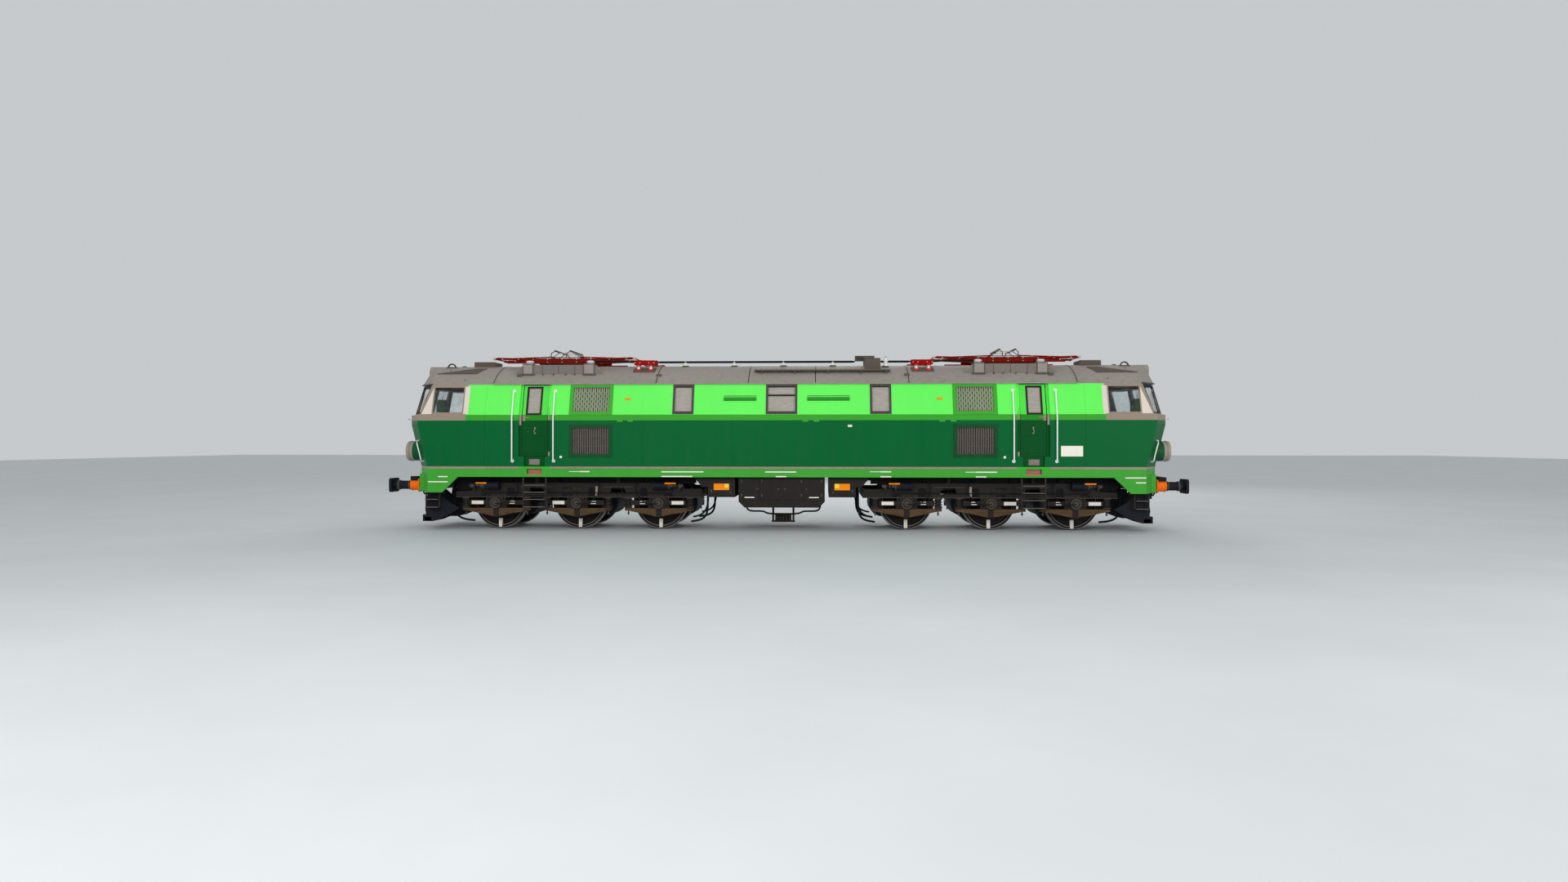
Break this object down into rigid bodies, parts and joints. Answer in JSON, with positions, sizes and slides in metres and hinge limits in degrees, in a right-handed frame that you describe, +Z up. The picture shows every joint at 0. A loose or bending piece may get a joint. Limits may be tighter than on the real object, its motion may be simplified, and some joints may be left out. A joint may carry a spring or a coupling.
{
  "type": "six-axle electric locomotive",
  "caption": "Double-cab six-axle electric locomotive with two swivelling bogies, rolling wheelsets, inward-opening cab doors and folding diamond pantographs.",
  "frame": {"origin": "middle of the locomotive, level with the lowest points of the wheel flanges", "axes": "+X along the locomotive towards cab 2, +Y towards its left side, +Z up"},
  "size_m": [19.24, 3.134, 4.4015],
  "materials": {
    "light_green_paint": "gloss light green enamel, green bands",
    "dark_green_paint": "gloss dark green enamel",
    "mid_green_paint": "gloss mid green enamel",
    "roof_paint": "matt warm grey roof paint",
    "pod_paint": "matt grey paint",
    "running_gear": "matt black-brown chassis paint",
    "wheel_steel": "dark steel, bright tread",
    "navy_black": "matt blue-black paint",
    "hose_rubber": "black rubber",
    "beam_brown": "brown spring steel",
    "safety_orange": "orange enamel",
    "signal_red": "red enamel",
    "arm_red": "red-lead paint",
    "blind_grey": "grey blind behind glass",
    "interior_grey": "satin grey paint",
    "slat_grey": "dull brown-grey slats",
    "rail_white": "white enamel",
    "insulator_white": "white glazed",
    "cab_glass": "clear, faint grey tint",
    "lamp_grey": "grey bucket, clear lens",
    "desk_green": "satin green",
    "seat_green": "green imitation leather",
    "step_pink": "dull red primer",
    "carbon": "carbon and steel"
  },
  "bodies": {
    "root": {"underframe": "mid_green_paint", "side_walls": "light_green_paint", "cab_shells": "dark_green_paint", "cab_roofs": "roof_paint", "roof_panels": "roof_paint", "bulkheads": "interior_grey", "cab_glazing": "cab_glass", "side_windows": "blind_grey", "side_grilles": "slat_grey", "handrails": "rail_white", "headlights": "lamp_grey", "buffer_casings": "safety_orange", "buffer_heads": "running_gear", "couplers": "running_gear", "brake_hoses": "hose_rubber", "rail_guards": "navy_black", "cab_steps": "step_pink", "underfloor_boxes": "running_gear", "sand_pipes": "navy_black", "busbar": "running_gear", "insulators": "insulator_white", "disconnectors": "signal_red", "breaker": "pod_paint", "roof_walkways": "pod_paint", "lifting_rings": "running_gear", "driver_desks": "desk_green", "driver_seats": "seat_green", "machinery": "interior_grey", "pantograph_bases": "arm_red"},
    "bogie_1": {"bogie_frame_1": "running_gear", "axleboxes_1": "beam_brown", "traction_motors_1": "navy_black", "brake_gear_1": "running_gear"},
    "bogie_2": {"bogie_frame_2": "running_gear", "axleboxes_2": "beam_brown", "traction_motors_2": "navy_black", "brake_gear_2": "running_gear"},
    "wheelset_1": {"wheelset_1": "wheel_steel"},
    "wheelset_2": {"wheelset_2": "wheel_steel"},
    "wheelset_3": {"wheelset_3": "wheel_steel"},
    "wheelset_4": {"wheelset_4": "wheel_steel"},
    "wheelset_5": {"wheelset_5": "wheel_steel"},
    "wheelset_6": {"wheelset_6": "wheel_steel"},
    "cab_door_1_left": {"cab_door_1_left": "dark_green_paint"},
    "cab_door_1_right": {"cab_door_1_right": "dark_green_paint"},
    "cab_door_2_left": {"cab_door_2_left": "dark_green_paint"},
    "cab_door_2_right": {"cab_door_2_right": "dark_green_paint"},
    "lower_arm_1_a": {"lower_arm_1_a": "arm_red"},
    "lower_arm_1_b": {"lower_arm_1_b": "arm_red"},
    "upper_arm_1_a": {"upper_arm_1_a": "arm_red"},
    "upper_arm_1_b": {"upper_arm_1_b": "arm_red"},
    "pantograph_head_1": {"pantograph_head_1": "carbon"},
    "lower_arm_2_a": {"lower_arm_2_a": "arm_red"},
    "lower_arm_2_b": {"lower_arm_2_b": "arm_red"},
    "upper_arm_2_a": {"upper_arm_2_a": "arm_red"},
    "upper_arm_2_b": {"upper_arm_2_b": "arm_red"},
    "pantograph_head_2": {"pantograph_head_2": "carbon"}
  },
  "joints": [
    {"name": "bogie_1_swivel", "type": "hinge", "parent": "root", "child": "bogie_1", "pos_m": [-4.97, 0, 1.078], "axis": [0, 0, 1], "range_deg": [-3, 3]},
    {"name": "bogie_2_swivel", "type": "hinge", "parent": "root", "child": "bogie_2", "pos_m": [4.97, 0, 1.078], "axis": [0, 0, 1], "range_deg": [-3, 3]},
    {"name": "wheelset_1_roll", "type": "hinge", "parent": "bogie_1", "child": "wheelset_1", "pos_m": [-6.96, 0, 0.653], "axis": [0, 1, 0], "continuous": true},
    {"name": "wheelset_2_roll", "type": "hinge", "parent": "bogie_1", "child": "wheelset_2", "pos_m": [-4.97, 0, 0.653], "axis": [0, 1, 0], "continuous": true},
    {"name": "wheelset_3_roll", "type": "hinge", "parent": "bogie_1", "child": "wheelset_3", "pos_m": [-2.98, 0, 0.653], "axis": [0, 1, 0], "continuous": true},
    {"name": "wheelset_4_roll", "type": "hinge", "parent": "bogie_2", "child": "wheelset_4", "pos_m": [2.98, 0, 0.653], "axis": [0, 1, 0], "continuous": true},
    {"name": "wheelset_5_roll", "type": "hinge", "parent": "bogie_2", "child": "wheelset_5", "pos_m": [4.97, 0, 0.653], "axis": [0, 1, 0], "continuous": true},
    {"name": "wheelset_6_roll", "type": "hinge", "parent": "bogie_2", "child": "wheelset_6", "pos_m": [6.96, 0, 0.653], "axis": [0, 1, 0], "continuous": true},
    {"name": "cab_door_1_left_hinge", "type": "hinge", "parent": "root", "child": "cab_door_1_left", "pos_m": [-5.581, 1.18548, 2.228], "axis": [0, 0, 1], "range_deg": [0, 90]},
    {"name": "cab_door_1_right_hinge", "type": "hinge", "parent": "root", "child": "cab_door_1_right", "pos_m": [-5.581, -1.18548, 2.228], "axis": [0, 0, -1], "range_deg": [0, 90]},
    {"name": "cab_door_2_left_hinge", "type": "hinge", "parent": "root", "child": "cab_door_2_left", "pos_m": [5.581, 1.18548, 2.228], "axis": [0, 0, -1], "range_deg": [0, 90]},
    {"name": "cab_door_2_right_hinge", "type": "hinge", "parent": "root", "child": "cab_door_2_right", "pos_m": [5.581, -1.18548, 2.228], "axis": [0, 0, 1], "range_deg": [0, 90]},
    {"name": "pantograph_1_raise", "type": "hinge", "parent": "root", "child": "lower_arm_1_a", "pos_m": [-5.096, 0, 4.158], "axis": [0, -1, 0], "range_deg": [0, 45]},
    {"name": "lower_arm_1_b_pivot", "type": "hinge", "parent": "root", "child": "lower_arm_1_b", "pos_m": [-5.836, 0, 4.158], "axis": [0, 1, 0], "range_deg": [0, 45]},
    {"name": "upper_arm_1_a_knuckle", "type": "hinge", "parent": "lower_arm_1_a", "child": "upper_arm_1_a", "pos_m": [-3.69685, 0, 4.20686], "axis": [0, -1, 0], "range_deg": [-90, 0]},
    {"name": "upper_arm_1_b_knuckle", "type": "hinge", "parent": "lower_arm_1_b", "child": "upper_arm_1_b", "pos_m": [-7.23515, 0, 4.20686], "axis": [0, 1, 0], "range_deg": [-90, 0]},
    {"name": "pantograph_head_1_pivot", "type": "hinge", "parent": "upper_arm_1_a", "child": "pantograph_head_1", "pos_m": [-5.096, 0, 4.25572], "axis": [0, -1, 0], "range_deg": [0, 45]},
    {"name": "pantograph_2_raise", "type": "hinge", "parent": "root", "child": "lower_arm_2_a", "pos_m": [5.836, 0, 4.158], "axis": [0, -1, 0], "range_deg": [0, 45]},
    {"name": "lower_arm_2_b_pivot", "type": "hinge", "parent": "root", "child": "lower_arm_2_b", "pos_m": [5.096, 0, 4.158], "axis": [0, 1, 0], "range_deg": [0, 45]},
    {"name": "upper_arm_2_a_knuckle", "type": "hinge", "parent": "lower_arm_2_a", "child": "upper_arm_2_a", "pos_m": [7.23515, 0, 4.20686], "axis": [0, -1, 0], "range_deg": [-90, 0]},
    {"name": "upper_arm_2_b_knuckle", "type": "hinge", "parent": "lower_arm_2_b", "child": "upper_arm_2_b", "pos_m": [3.69685, 0, 4.20686], "axis": [0, 1, 0], "range_deg": [-90, 0]},
    {"name": "pantograph_head_2_pivot", "type": "hinge", "parent": "upper_arm_2_a", "child": "pantograph_head_2", "pos_m": [5.836, 0, 4.25572], "axis": [0, -1, 0], "range_deg": [0, 45]}
  ],
  "couplings": [
    {"joint": "lower_arm_1_b_pivot", "follows": "pantograph_1_raise", "ratio": 1},
    {"joint": "upper_arm_1_a_knuckle", "follows": "pantograph_1_raise", "ratio": -2},
    {"joint": "upper_arm_1_b_knuckle", "follows": "pantograph_1_raise", "ratio": -2},
    {"joint": "pantograph_head_1_pivot", "follows": "pantograph_1_raise", "ratio": 1},
    {"joint": "lower_arm_2_b_pivot", "follows": "pantograph_2_raise", "ratio": 1},
    {"joint": "upper_arm_2_a_knuckle", "follows": "pantograph_2_raise", "ratio": -2},
    {"joint": "upper_arm_2_b_knuckle", "follows": "pantograph_2_raise", "ratio": -2},
    {"joint": "pantograph_head_2_pivot", "follows": "pantograph_2_raise", "ratio": 1}
  ]
}
